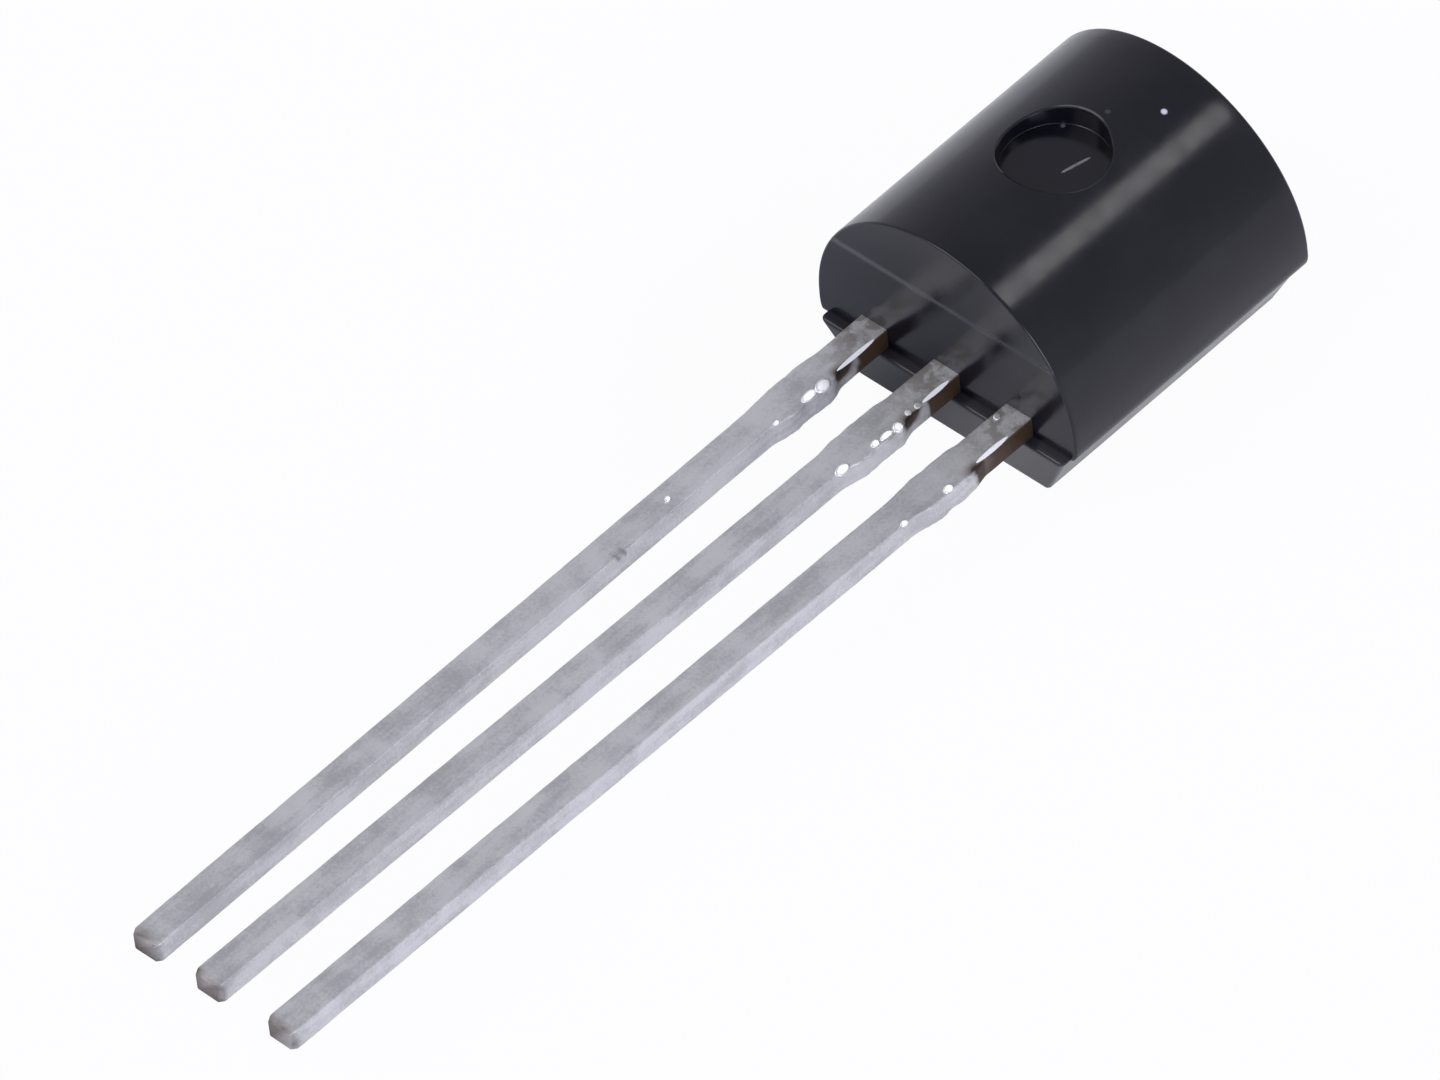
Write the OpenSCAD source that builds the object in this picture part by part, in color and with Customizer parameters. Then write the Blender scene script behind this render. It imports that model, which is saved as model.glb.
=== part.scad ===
// Three-lead moulded package (TO-92 style) for a voltage reference.
// Z = 0 is the flat face, +Z points at the round side. The leads lie in a row along X and point to -Y.
// The origin is at the middle of the flat face. The pieces are drawn from the round half's lead end,
// at Y = 0, and framed() then moves them to the origin.
// The body is moulded round the lead frame, so its cavities are cut by the very pieces that fill them.

/* [Body] */
// Width across the round half
body_w = 4.52; // [4.4:0.02:5.2]
// Length of the round half, along the leads
body_len = 4.48; // [4.2:0.02:5.3]
// Depth from the flat face to the crown of the round side
body_depth = 3.44; // [3.2:0.02:4.2]
// Depth of the flat half, from the flat face to the parting plane that the leads lie on
flat_half_depth = 0.88; // [0.7:0.01:1.1]
// Width of the flat half at the parting plane
flat_half_w = 4.3; // [4.2:0.02:4.38]
// Width of the flat face itself
flat_face_w = 3.35; // [2.8:0.05:3.9]
// Length by which the flat half stands past the round half at the lead end
lead_end_step = 0.2; // [0:0.01:0.3]
// Draft of the flat half's two ends, in degrees
flat_half_draft = 10; // [2:0.5:14]
// Radius of the flat half's four upright corners, at the flat face
flat_half_corner_r = 0.1; // [0.05:0.01:0.3]
// Radius along the round half's two long edges at the parting plane
parting_edge_r = 0.14; // [0.02:0.01:0.2]
// Height of the crease across the lead end of the round half
crease_z = 2.34; // [1.6:0.02:2.8]
// Draft below that crease, in degrees
crease_draft = 1.5; // [0.5:0.5:6]
// Radius of the round half's far edge
far_edge_r = 0.05; // [0.04:0.01:0.3]
// Diameter of the ejector-pin recess on the crown
ejector_d = 1.5; // [0.8:0.05:1.6]
// Depth of that recess below the crown
ejector_depth = 0.35; // [0.15:0.01:0.4]
// Distance of that recess from the lead end
ejector_y = 2.27; // [1.6:0.01:2.8]

/* [Leads] */
// Distance from one lead to the next
pitch = 1.27; // [1.2:0.01:1.32]
// Width of a lead
lead_w = 0.46; // [0.38:0.01:0.52]
// Thickness of the lead frame
frame_t = 0.34; // [0.3:0.01:0.45]
// Length of a lead outside the round half
lead_len = 13.73; // [8:0.01:16]
// Chamfer on each side of a lead's cut end
tip_chamfer = 0.04; // [0.01:0.01:0.1]
// Sideways spring of the left, middle and right lead, in degrees
lead_spring = [0, -0.72, -0.7]; // [-2:0.1:2]

/* [Dam-bar stubs] */
// Distance from the body's lead end to where the trimmed stubs begin
stub_start = 0.91; // [0.5:0.01:1.5]
// Length over which a stub rises to its full width
stub_rise = 0.3; // [0.1:0.01:0.5]
// Length of a stub at its full width
stub_flat = 0.66; // [0.3:0.01:1]
// Length over which a stub falls back to the lead
stub_fall = 0.45; // [0.1:0.01:0.8]
// Width that a stub stands proud of each side of its lead
stub_proud = 0.08; // [0.02:0.01:0.15]

/* [Lead frame inside the body] */
// Width of the paddle that carries the chip
paddle_w = 1.44; // [1.2:0.02:1.6]
// Length of that paddle
paddle_len = 2.1; // [2.0:0.02:2.3]
// Distance from the body's lead end to the paddle
paddle_start = 1.2; // [1.1:0.01:1.3]
// Gap between the paddle and each bond post
post_gap = 0.25; // [0.15:0.01:0.35]
// Width of a bond post
post_w = 0.8; // [0.7:0.01:0.95]
// Length of a bond post
post_len = 1.2; // [0.8:0.02:1.6]
// Distance from the body's lead end to a bond post
post_start = 1.5; // [1.2:0.01:1.8]
// Diameter of the mould-lock hole through a post and through the paddle's head
lock_hole_d = 0.3; // [0.2:0.01:0.4]
// Width of the barbs that keep a lead from being drawn out
barb_w = 0.78; // [0.6:0.01:0.9]
// Length of a barb along its lead
barb_len = 0.25; // [0.15:0.01:0.4]
// Distance from the body's lead end to the barbs
barb_start = 0.55; // [0.3:0.01:0.7]

/* [Chip and wires] */
// Width of the chip
die_w = 0.95; // [0.6:0.01:1.05]
// Length of the chip
die_len = 1.05; // [0.8:0.01:1.1]
// Thickness of the chip
die_t = 0.25; // [0.15:0.01:0.35]
// Thickness of the adhesive under the chip
attach_t = 0.03; // [0.02:0.005:0.05]
// Width of the adhesive fillet that shows round the chip
attach_margin = 0.05; // [0.02:0.01:0.08]
// Diameter of a bond wire
wire_d = 0.034; // [0.024:0.001:0.05]
// Diameter of the ball that starts a wire on the chip
ball_d = 0.09; // [0.06:0.005:0.12]
// Height of that ball
ball_h = 0.022; // [0.015:0.001:0.03]
// Straight rise of a wire above the chip
loop_rise = 0.16; // [0.1:0.01:0.25]
// Radius of the bend at the top of a wire's loop
loop_bend_r = 0.07; // [0.05:0.005:0.12]
// Distance of a bond pad from the chip's edge
pad_inset = 0.12; // [0.08:0.01:0.2]

/* [Hidden] */
round_r = body_w / 2;
round_z = body_depth - round_r;
flat_face_mid = (body_len - lead_end_step) / 2;
crease_lean = (crease_z - flat_half_depth) * tan(crease_draft);
flat_half_lean = flat_half_depth * tan(flat_half_draft);
flat_half_len = body_len + lead_end_step;
flat_face_len = flat_half_len - 2 * flat_half_lean;
lead_top = flat_half_depth + frame_t;
stub_far = stub_start + stub_rise + stub_flat;
paddle_end = paddle_start + paddle_len;
post_inner_x = paddle_w / 2 + post_gap;
post_x = post_inner_x + post_w / 2;
post_end = post_start + post_len;
hole_zone = 2 * lock_hole_d;
die_y = paddle_end - hole_zone - attach_margin - die_len / 2;
die_base = lead_top + attach_t;
die_top = die_base + die_t;
post_land_y = post_end - hole_zone - wire_d;
paddle_land_y = (paddle_start + die_y - die_len / 2 - attach_margin) / 2;
pad_x = die_w / 2 - pad_inset;
pad_y = die_len / 2 - pad_inset;
wire_sides = 8;
eps = 0.01;
epoxy = [0.16, 0.16, 0.18];
tin = [0.68, 0.68, 0.71];
gold = [0.85, 0.68, 0.3];

// Moves what is drawn from the lead end to the part's origin
module framed() {
    translate([0, -flat_face_mid, 0]) children();
}

// ---- body ----

// Plan of the round half: far corners rounded, lead end square and long enough to be cut to its slope
module round_plan() {
    reach = body_len - far_edge_r;
    translate([-round_r, -lead_end_step]) square([body_w, reach + lead_end_step]);
    translate([far_edge_r - round_r, 0]) square([body_w - 2 * far_edge_r, body_len]);
    for (side = [-1, 1])
        translate([side * (round_r - far_edge_r), reach]) circle(far_edge_r, $fn = 32);
}

// Half turn of that plan about the axis of the round side, with straight walls down to the parting plane
module round_half_blank() {
    translate([0, 0, round_z]) rotate([-90, 0, 0]) rotate([0, 0, 180])
        rotate_extrude(angle = 180, $fn = 96) intersection() {
            round_plan();
            translate([0, -body_len]) square([body_w, 3 * body_len]);
        }
    translate([0, 0, flat_half_depth]) linear_extrude(round_z - flat_half_depth) round_plan();
}

// End view of the round half's mould: its two corners at the parting plane are rounded
module round_end_view() {
    inner = round_r - parting_edge_r;
    translate([-round_r, flat_half_depth + parting_edge_r]) square([body_w, body_depth]);
    translate([-inner, flat_half_depth - eps]) square([2 * inner, body_depth]);
    for (side = [-1, 1])
        translate([side * inner, flat_half_depth + parting_edge_r]) circle(parting_edge_r, $fn = 32);
}

// Extrudes an outline drawn as [y, z] across the whole width
module across(width) {
    rotate([90, 0, 90]) linear_extrude(width, center = true) children();
}

module round_half() {
    side = [[-crease_lean, flat_half_depth - eps], [body_len + eps, flat_half_depth - eps],
            [body_len + eps, body_depth + eps], [0, body_depth + eps], [0, crease_z]];
    intersection() {
        round_half_blank();
        across(body_w + 2 * eps) polygon(side);
        translate([0, body_len + eps, 0]) rotate([90, 0, 0])
            linear_extrude(body_len + crease_lean + 2 * eps) round_end_view();
    }
}

// Tapered half with the flat face; its rounded plan grows from there up to the parting plane
module flat_half() {
    plan = [flat_face_w, flat_face_len];
    core = plan - 2 * flat_half_corner_r * [1, 1];
    growth = [flat_half_w / flat_face_w, flat_half_len / flat_face_len];
    translate([0, flat_face_mid, 0]) linear_extrude(flat_half_depth, scale = growth) {
        square([plan[0], core[1]], center = true);
        square([core[0], plan[1]], center = true);
        for (x = [-1, 1], y = [-1, 1])
            translate([x * core[0] / 2, y * core[1] / 2]) circle(flat_half_corner_r, $fn = 32);
    }
}

module ejector_recess() {
    translate([0, ejector_y, body_depth - ejector_depth])
        cylinder(d = ejector_d, h = ejector_depth + eps, $fn = 64);
}

module body() {
    color(epoxy) framed() difference() {
        union() {
            round_half();
            flat_half();
        }
        ejector_recess();
        outer_lead(-1);
        outer_lead(1);
        paddle_lead();
        adhesive();
        chip();
        post_wire(-1);
        post_wire(1);
        down_wire();
    }
}

// ---- lead frame ----

// Turns a point outside the body about the lead's exit, which is how a free lead springs aside
function sprung(p, angle) = p[1] >= 0 ? p
    : [p[0] * cos(angle) - p[1] * sin(angle), p[0] * sin(angle) + p[1] * cos(angle)];

// Straight blade from its cut end, past the dam-bar stubs, to the depth where the anchor takes over
module blade_outline(depth, angle) {
    half = lead_w / 2;
    edge = [[half, depth], [half, 0], [half, -stub_start], [half + stub_proud, -stub_start - stub_rise],
            [half + stub_proud, -stub_far], [half, -stub_far - stub_fall],
            [half, tip_chamfer - lead_len], [half - tip_chamfer, -lead_len]];
    last = len(edge) - 1;
    both = [for (p = edge) p, for (i = [last : -1 : 0]) [-edge[i][0], edge[i][1]]];
    polygon([for (p = both) sprung(p, angle)]);
}

module barbs() {
    translate([-barb_w / 2, barb_start]) square([barb_w, barb_len]);
}

// Gives a flat outline the thickness of the lead frame, lying on the parting plane
module stamped() {
    translate([0, 0, flat_half_depth]) linear_extrude(frame_t) children();
}

module lock_hole(x, y) {
    translate([x, y, flat_half_depth - eps]) cylinder(d = lock_hole_d, h = frame_t + 2 * eps, $fn = 32);
}

// Outer lead: its blade turns out into a bond post with a lock hole; side is -1 for left, 1 for right
module outer_lead(side) {
    x = side * pitch;
    angle = lead_spring[1 + side];
    difference() {
        union() {
            translate([x, 0]) stamped() blade_outline(post_start + eps, angle);
            translate([x, 0]) stamped() barbs();
            translate([side * post_x - post_w / 2, post_start]) stamped() square([post_w, post_len]);
        }
        lock_hole(side * post_x, post_end - lock_hole_d);
    }
}

// Middle lead: its blade widens into the paddle that carries the chip
module paddle_lead() {
    difference() {
        union() {
            stamped() blade_outline(paddle_start + eps, lead_spring[1]);
            stamped() barbs();
            translate([-paddle_w / 2, paddle_start]) stamped() square([paddle_w, paddle_len]);
        }
        lock_hole(0, paddle_end - lock_hole_d);
    }
}

module left_lead() {
    color(tin) framed() outer_lead(-1);
}

module middle_lead() {
    color(tin) framed() paddle_lead();
}

module right_lead() {
    color(tin) framed() outer_lead(1);
}

// ---- chip ----

module adhesive() {
    w = die_w + 2 * attach_margin;
    l = die_len + 2 * attach_margin;
    translate([-w / 2, die_y - l / 2, lead_top]) cube([w, l, attach_t]);
}

module chip() {
    translate([-die_w / 2, die_y - die_len / 2, die_base]) cube([die_w, die_len, die_t]);
}

module die_attach() {
    color([0.75, 0.74, 0.7]) framed() adhesive();
}

module die() {
    color([0.35, 0.36, 0.4]) framed() chip();
}

// ---- bond wires ----
// A wire lies in one upright plane: it rises from its ball, bends over and slopes down to its landing.

function loop_path(span, drop) = [
    [0, 0], [0, loop_rise],
    for (turn = [30 : 30 : 90]) [loop_bend_r * (1 - cos(turn)), loop_rise + loop_bend_r * sin(turn)],
    [span, -drop]
];

function unit(v) = v / norm(v);

// Offset, per unit of radius, that keeps each facet flat across a corner between directions a and b
function mitre(a, b) = let (n = unit([-a[1] - b[1], a[0] + b[0]])) n / (n * [-a[1], a[0]]);

// The first and last sections are level, so that they sit flush on the chip and on the metal
function level_cut(a) = [-1 / a[1], 0];

function section(p, m) = [for (k = [0 : wire_sides - 1])
    let (a = 360 / wire_sides * (k + 0.5), r = wire_d / 2)
    [p[0] + m[0] * r * sin(a), r * cos(a), p[1] + m[1] * r * sin(a)]];

module wire_loop(span, drop) {
    path = loop_path(span, drop);
    last = len(path) - 1;
    way = [for (i = [0 : last - 1]) unit(path[i + 1] - path[i])];
    mitres = [for (i = [1 : last - 1]) mitre(way[i - 1], way[i])];
    offsets = [level_cut(way[0]), each mitres, level_cut(way[last - 1])];
    points = [for (i = [0 : last]) each section(path[i], offsets[i])];
    sides = [for (i = [0 : last - 1], k = [0 : wire_sides - 1])
        let (a = i * wire_sides, b = a + wire_sides, j = (k + 1) % wire_sides) [a + k, a + j, b + j, b + k]];
    ends = [[for (k = [wire_sides - 1 : -1 : 0]) k], [for (k = [0 : wire_sides - 1]) last * wire_sides + k]];
    polyhedron(points, concat(ends, sides));
    cylinder(d = ball_d, h = ball_h, $fn = 12);
}

// A wire from a bond pad on the chip to a landing point on the lead frame, both as [x, y]
module bond_wire(pad, landing) {
    reach = landing - pad;
    translate([pad[0], pad[1], die_top]) rotate([0, 0, atan2(reach[1], reach[0])])
        wire_loop(norm(reach), die_top - lead_top);
}

// From the chip to a bond post; side is -1 for left, 1 for right
module post_wire(side) {
    bond_wire([side * pad_x, die_y], [side * post_x, post_land_y]);
}

// From the chip down to the paddle beside it
module down_wire() {
    bond_wire([pad_x / 2, die_y - pad_y], [pad_x / 2, paddle_land_y]);
}

module left_wire() {
    color(gold) framed() post_wire(-1);
}

module right_wire() {
    color(gold) framed() post_wire(1);
}

module paddle_wire() {
    color(gold) framed() down_wire();
}

body();
left_lead();
middle_lead();
right_lead();
die();
die_attach();
left_wire();
right_wire();
paddle_wire();
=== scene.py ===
# A three-lead voltage reference in a D-section moulded package, on a plain pale floor.
import math

import bpy
from mathutils import Matrix, Vector


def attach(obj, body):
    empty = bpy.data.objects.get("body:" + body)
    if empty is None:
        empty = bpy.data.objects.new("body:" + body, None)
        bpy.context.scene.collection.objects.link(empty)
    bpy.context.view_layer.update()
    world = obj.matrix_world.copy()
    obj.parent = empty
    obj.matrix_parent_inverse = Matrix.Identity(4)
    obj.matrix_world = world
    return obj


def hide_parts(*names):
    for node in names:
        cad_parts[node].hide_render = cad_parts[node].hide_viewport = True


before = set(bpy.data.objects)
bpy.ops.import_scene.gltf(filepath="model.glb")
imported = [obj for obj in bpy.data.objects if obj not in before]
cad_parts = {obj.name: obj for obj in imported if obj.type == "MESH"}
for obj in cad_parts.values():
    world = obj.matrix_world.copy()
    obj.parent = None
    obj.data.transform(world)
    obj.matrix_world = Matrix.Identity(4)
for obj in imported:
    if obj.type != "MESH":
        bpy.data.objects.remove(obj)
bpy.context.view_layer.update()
scene = bpy.context.scene

# ---- Camera ----
# A long lens looks at the lead end and the round side from the upper right, with a small roll. Sizes are
# named in millimetres, and become Blender's metres where they meet MM.

MM = 0.001
LOOK_AZIMUTH = math.radians(48.08)
LOOK_ELEVATION = math.radians(46.85)
CAMERA_ROLL = math.radians(-7.04)
CAMERA_DISTANCE = 270.9 * MM
VIEW_MIDDLE = (0, -6.64, 1.87)
VIEW_TO_RIGHT = 0.16
VIEW_DOWN = 0.119
FRAME_WIDTH_PX = 1440
PIXELS_PER_MM = 78.09
SENSOR_WIDTH = 36
CLIP_NEAR = 10 * MM
CLIP_FAR = 5000 * MM

back = Vector((math.sin(LOOK_AZIMUTH) * math.cos(LOOK_ELEVATION),
               -math.cos(LOOK_AZIMUTH) * math.cos(LOOK_ELEVATION),
               math.sin(LOOK_ELEVATION)))
level_right = Vector((0, 0, 1)).cross(back).normalized()
level_up = back.cross(level_right)
right = level_right * math.cos(CAMERA_ROLL) + level_up * math.sin(CAMERA_ROLL)
up = level_up * math.cos(CAMERA_ROLL) - level_right * math.sin(CAMERA_ROLL)
middle_of_view = Vector(VIEW_MIDDLE) * MM + right * VIEW_TO_RIGHT * MM - up * VIEW_DOWN * MM

camera_data = bpy.data.cameras.new("camera")
camera_data.sensor_width = SENSOR_WIDTH
camera_data.lens = PIXELS_PER_MM * (CAMERA_DISTANCE / MM) / FRAME_WIDTH_PX * SENSOR_WIDTH
camera_data.clip_start = CLIP_NEAR
camera_data.clip_end = CLIP_FAR
camera = bpy.data.objects.new("camera", camera_data)
camera.matrix_world = Matrix.Translation(middle_of_view + back * CAMERA_DISTANCE) @ Matrix(
    (right, up, back)).transposed().to_4x4()
scene.collection.objects.link(camera)
scene.camera = camera
scene.view_settings.view_transform = "Standard"

# ---- Leads ----
# Three flat leads stamped from one copper-alloy strip and tin plated. The strip's dam bar is sheared off
# after moulding, which leaves a low stub on each side and bare copper between it and the body. Inside the
# body the outer leads end in bond posts and the middle one in the paddle that carries the chip.

LEAD_END_Y = -2.14
LEAD_PITCH = 1.27
LEAD_WIDTH = 0.46
LEAD_THICKNESS = 0.34
LEAD_MIDDLE_Z = 1.05
LEAD_LENGTH = 13.73
LEAD_SPRING = (0, -0.72, -0.70)
LEAD_EDGE_RADIUS = 0.028
RAGGEDNESS = 0.018
STUB_START = 0.91
STUB_RISE = 0.3
STUB_FLAT = 0.66
STUB_FALL = 0.45
STUB_PROUD = 0.08
TIP_ROUND = 0.14
TIP_PINCH = 0.17
ANCHOR_DEPTH = 1.6
BARB_WIDTH = 0.78
BARB_LENGTH = 0.25
BARB_START = 0.55
BARB_THICKNESS_SHARE = 0.97
POST_WIDTH = 0.8
POST_LENGTH = 1.2
POST_START = 1.5
POST_OUTWARD = 0.1
PADDLE_WIDTH = 1.44
PADDLE_LENGTH = 2.1
PADDLE_START = 1.2
LOCKING_HOLE = 0.3
HOLE_SIDES = 32
HOLE_PUNCH_LENGTH = 1
BLADE_STATIONS = 420
BARE_REACH = (0.70, 0.66, 1.15)
BARE_EDGE = 0.08
BARE_PATCHINESS = 0.25
NOTCH_PLACE = (1.10, 1.16, 1.33)
NOTCH_FROM_BODY = 0.17
NOTCH_HEIGHT_SHARE = 0.32
NOTCH_STRETCH = (1.0, 0.28, 1.0)
NOTCH_CORE = 0.04
NOTCH_REACH = 0.09
NOTCH_SHADE_LEVEL = 2.0
SCUFF_PLACE = (5.1, 7.4, 8.24)
SCUFF_REACH = (0.1, 0.2, 0.55)
SCUFF_CORE = 0.03
SCUFF_WIDTH = 0.08
SCUFF_SHARE = 0.6
CUT_END_BARE = 0.42
CUT_END_BLOTCHES = 0.4
STAIN_REACH = 1.3
STAIN_FULL = 0.2
STAIN_SHARE = 0.9
STREAK_SCALE = (7000, 700, 7000)
TIN = (0.69, 0.685, 0.69)
TIN_DULL = (0.52, 0.515, 0.52)
TIN_METALLIC = 0.85
BRIGHT_TIN = (0.93, 0.93, 0.94)
STAIN = (0.34, 0.31, 0.28)
BARE_COPPER = (0.055, 0.029, 0.014)
NOTCH_PAINTED_SHADE = (0.008, 0.006, 0.005)


def add(tree, kind, settings=None, inputs=None):
    """Adds a node, sets its properties, and links or fills its inputs, given by name or by number."""
    made = tree.nodes.new(kind)
    for key, value in (settings or {}).items():
        setattr(made, key, value)
    for key, value in (inputs or {}).items():
        if isinstance(value, bpy.types.NodeSocket):
            tree.links.new(value, made.inputs[key])
        else:
            made.inputs[key].default_value = value
    return made


def calc(tree, operation, first, second=0.0):
    """One Math node's result."""
    return add(tree, "ShaderNodeMath", {"operation": operation}, {0: first, 1: second}).outputs[0]


def plus(tree, first, second):
    """The sum of two values or sockets."""
    return calc(tree, "ADD", first, second)


def minus(tree, first, second):
    """The difference of two values or sockets."""
    return calc(tree, "SUBTRACT", first, second)


def times(tree, first, *others):
    """The product of values or sockets."""
    for other in others:
        first = calc(tree, "MULTIPLY", first, other)
    return first


def vector_of(tree, x=0.0, y=0.0, z=0.0):
    """A vector from three values or sockets."""
    return add(tree, "ShaderNodeCombineXYZ", None, {"X": x, "Y": y, "Z": z}).outputs[0]


def distance_between(tree, first, second):
    """The distance between two places."""
    made = add(tree, "ShaderNodeVectorMath", {"operation": "DISTANCE"}, {0: first, 1: second})
    return made.outputs["Value"]


def blend(tree, share, first, second):
    """A colour between two colours, which are triples or sockets."""
    ends = [end if isinstance(end, bpy.types.NodeSocket) else (*end, 1) for end in (first, second)]
    made = add(tree, "ShaderNodeMix", {"data_type": "RGBA"}, {"Factor": share, 6: ends[0], 7: ends[1]})
    return made.outputs[2]


def slope_between(tree, value, low, high, start=0.0, end=1.0):
    """A straight climb from start to end as value goes from low to high."""
    return add(tree, "ShaderNodeMapRange", None, {
        "Value": value, "From Min": low, "From Max": high, "To Min": start, "To Max": end}).outputs[0]


def ramp_between(tree, value, low, high, start=0.0, end=1.0):
    """A smooth step from start to end as value goes from low to high."""
    return add(tree, "ShaderNodeMapRange", {"interpolation_type": "SMOOTHSTEP"}, {
        "Value": value, "From Min": low, "From Max": high, "To Min": start, "To Max": end}).outputs[0]


def noise_at(tree, vector, scale, detail=2.0, roughness=0.5):
    """A noise value from 0 to 1 at a scale in waves per unit of the vector."""
    return add(tree, "ShaderNodeTexNoise", {"noise_dimensions": "3D"},
               {"Vector": vector, "Scale": scale, "Detail": detail, "Roughness": roughness}).outputs["Fac"]


def new_material(name):
    """A new principled material: itself, its tree, its shader and its object coordinates."""
    material = bpy.data.materials.new(name)
    material.use_nodes = True
    tree = material.node_tree
    shader = tree.nodes["Principled BSDF"]
    place = tree.nodes.new("ShaderNodeTexCoord").outputs["Object"]
    return material, tree, shader, place


def set_relief(tree, shader, height, strength, distance):
    """Gives the shader a bump from a height between 0 and 1."""
    bump = add(tree, "ShaderNodeBump", None, {"Strength": strength, "Distance": distance, "Height": height})
    tree.links.new(bump.outputs[0], shader.inputs["Normal"])


def tinned_copper():
    """Dull electroplated tin: cloudy grey, finely pitted, stained near the body, brown where it is bare,
    near black with painted shade in the notch.
    """
    material, tree, shader, place = new_material("tinned_copper")
    clouds = noise_at(tree, place, scale=1500, detail=4, roughness=0.6)
    grain = noise_at(tree, place, scale=22000, detail=3, roughness=0.6)
    drawn_out = add(tree, "ShaderNodeMapping", None, {"Vector": place, "Scale": STREAK_SCALE}).outputs[0]
    streaks = noise_at(tree, drawn_out, scale=1.0, detail=3, roughness=0.6)
    tone = plus(tree, times(tree, clouds, 0.45), times(tree, streaks, 0.3))
    tone = plus(tree, tone, times(tree, grain, 0.25))
    tin = blend(tree, ramp_between(tree, tone, low=0.38, high=0.58), TIN_DULL, TIN)
    y = add(tree, "ShaderNodeSeparateXYZ", None, {"Vector": place}).outputs["Y"]
    near_body = ramp_between(
        tree, y, low=(LEAD_END_Y - STAIN_REACH) * MM, high=(LEAD_END_Y - STAIN_FULL) * MM)
    patches = noise_at(tree, place, scale=3800, detail=4, roughness=0.65)
    blotches = ramp_between(tree, patches, low=0.43, high=0.57)
    stained = blend(tree, times(tree, near_body, blotches, STAIN_SHARE), tin, STAIN)
    bareness_and_shade = add(tree, "ShaderNodeAttribute", {"attribute_name": "bareness_and_shade"}).outputs["Fac"]
    copper = blend(tree, bareness_and_shade, stained, BARE_COPPER)
    # Past 1 the value blends the copper on to near black: painted shade in the notch beside the stub.
    tree.links.new(blend(tree, minus(tree, bareness_and_shade, 1.0), copper, NOTCH_PAINTED_SHADE), shader.inputs["Base Color"])
    metal = calc(tree, "MAXIMUM", 0.0, minus(tree, TIN_METALLIC, times(tree, bareness_and_shade, 0.5)))
    tree.links.new(metal, shader.inputs["Metallic"])
    dulled = slope_between(tree, clouds, low=0.3, high=0.7, start=0.44, end=0.56)
    tree.links.new(dulled, shader.inputs["Roughness"])
    pits = plus(tree, times(tree, grain, 0.5), times(tree, streaks, 0.5))
    set_relief(tree, shader, pits, strength=0.5, distance=0.012 * MM)
    return material


def bright_tin(name, metallic, roughness):
    """Molten tin that set smooth, or the torn burr, whose pale, nearly matt colour is a painted highlight.
    """
    material, tree, shader, place = new_material(name)
    clouds = noise_at(tree, place, scale=6000)
    tree.links.new(blend(tree, times(tree, clouds, 0.3), BRIGHT_TIN, TIN), shader.inputs["Base Color"])
    shader.inputs["Metallic"].default_value = metallic
    shader.inputs["Roughness"].default_value = roughness
    return material


def new_tree(name, sizes):
    """A Geometry Nodes tree with named float inputs; returns it and a lookup of their sockets."""
    tree = bpy.data.node_groups.new(name, "GeometryNodeTree")
    tree.interface.new_socket(name="Geometry", in_out="OUTPUT", socket_type="NodeSocketGeometry")
    for size in sizes:
        tree.interface.new_socket(name=size, in_out="INPUT", socket_type="NodeSocketFloat")
    group_input = tree.nodes.new("NodeGroupInput")
    return tree, group_input.outputs


def grown(name, tree, values, material):
    """A plain mesh object grown by a Geometry Nodes tree from the given input values."""
    host = bpy.data.objects.new(name + "_host", bpy.data.meshes.new(name + "_host"))
    scene.collection.objects.link(host)
    modifier = host.modifiers.new("grow", "NODES")
    modifier.node_group = tree
    for item in tree.interface.items_tree:
        if item.in_out == "INPUT" and item.name in values:
            modifier[item.identifier] = values[item.name]
    weighted = host.modifiers.new("weighted", "WEIGHTED_NORMAL")
    weighted.keep_sharp = True
    bpy.context.view_layer.update()
    depsgraph = bpy.context.evaluated_depsgraph_get()
    mesh = bpy.data.meshes.new_from_object(host.evaluated_get(depsgraph))
    bpy.data.objects.remove(host)
    mesh.name = name
    mesh.materials.clear()
    mesh.materials.append(material)
    piece = bpy.data.objects.new(name, mesh)
    scene.collection.objects.link(piece)
    return piece


def swept_strip(tree, size):
    """The strip's rounded section, swept straight from its anchor inside the body to the tip."""
    root = vector_of(tree, y=size["Anchor depth"])
    tip = vector_of(tree, y=times(tree, size["Length"], -1.0))
    line = add(tree, "GeometryNodeCurvePrimitiveLine", None, {"Start": root, "End": tip})
    line = add(tree, "GeometryNodeResampleCurve", None, {"Curve": line.outputs[0], "Count": BLADE_STATIONS})
    line = add(tree, "GeometryNodeSetCurveNormal", {"mode": "Z_UP"}, {"Curve": line.outputs[0]})
    section = add(tree, "GeometryNodeCurvePrimitiveQuadrilateral", None,
                  {"Width": size["Width"], "Height": size["Thickness"]})
    section = add(tree, "GeometryNodeSubdivideCurve", None, {"Curve": section.outputs[0], "Cuts": 2})
    section = add(tree, "GeometryNodeFilletCurve", {"mode": "POLY"}, {
        "Curve": section.outputs[0], "Count": 4, "Radius": size["Edge radius"], "Limit Radius": True})
    return add(tree, "GeometryNodeCurveToMesh", None, {
        "Curve": line.outputs[0], "Profile Curve": section.outputs[0], "Fill Caps": True})


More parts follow.
